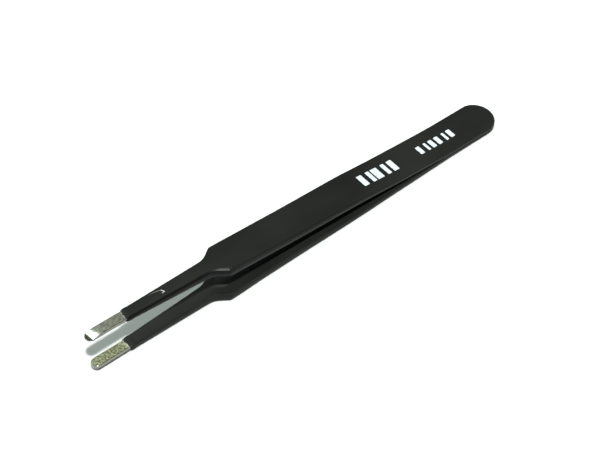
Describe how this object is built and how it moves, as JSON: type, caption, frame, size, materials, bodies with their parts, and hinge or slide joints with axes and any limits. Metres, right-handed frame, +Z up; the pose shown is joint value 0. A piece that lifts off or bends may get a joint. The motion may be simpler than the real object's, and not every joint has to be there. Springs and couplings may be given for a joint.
{
  "type": "precision tweezers",
  "caption": "Straight precision tweezers with flat round bare-steel tips, stepped necks and a thin black insulating coating over both sprung arms.",
  "frame": {"origin": "middle of the footprint, on the surface that the tweezers lie on", "axes": "+X along the tweezers from the tips to the heel, +Y across the arms, +Z up from the surface that the lower arm lies on"},
  "size_m": [0.12, 0.0096, 0.0129],
  "materials": {
    "steel": "fine-ground stainless steel, bright on the edges",
    "weld": "fused spot-weld metal, hidden between the arms",
    "coating": "baked black static-dissipative coating with a low, even sheen",
    "ink": "white printed marks"
  },
  "bodies": {
    "heel": {"heel_coating": "coating", "upper_arm_heel": "steel", "lower_arm_heel": "steel", "weld_nugget_1": "weld", "weld_nugget_2": "weld", "weld_nugget_3": "weld", "rear_mark_1": "ink", "rear_mark_2": "ink", "rear_mark_3": "ink", "rear_mark_4": "ink", "rear_mark_5": "ink", "rear_mark_6": "ink"},
    "upper_blade": {"upper_arm_blade": "steel", "upper_blade_coating": "coating", "front_mark_1": "ink", "front_mark_2": "ink", "front_mark_3": "ink", "front_mark_4": "ink", "front_mark_5": "ink"},
    "lower_blade": {"lower_arm_blade": "steel", "lower_blade_coating": "coating"}
  },
  "joints": [
    {"name": "upper_arm_flex", "type": "hinge", "parent": "heel", "child": "upper_blade", "pos_m": [0.03265, 0, 0.00336], "axis": [0, -1, 0], "range_deg": [0, 2.88], "stiffness_Nm_per_rad": 1.5},
    {"name": "lower_arm_flex", "type": "hinge", "parent": "heel", "child": "lower_blade", "pos_m": [0.03254, 0, 0.0013], "axis": [0, 1, 0], "range_deg": [0, 2.88], "stiffness_Nm_per_rad": 1.5}
  ],
  "couplings": [
    {"joint": "lower_arm_flex", "follows": "upper_arm_flex", "ratio": 1}
  ]
}
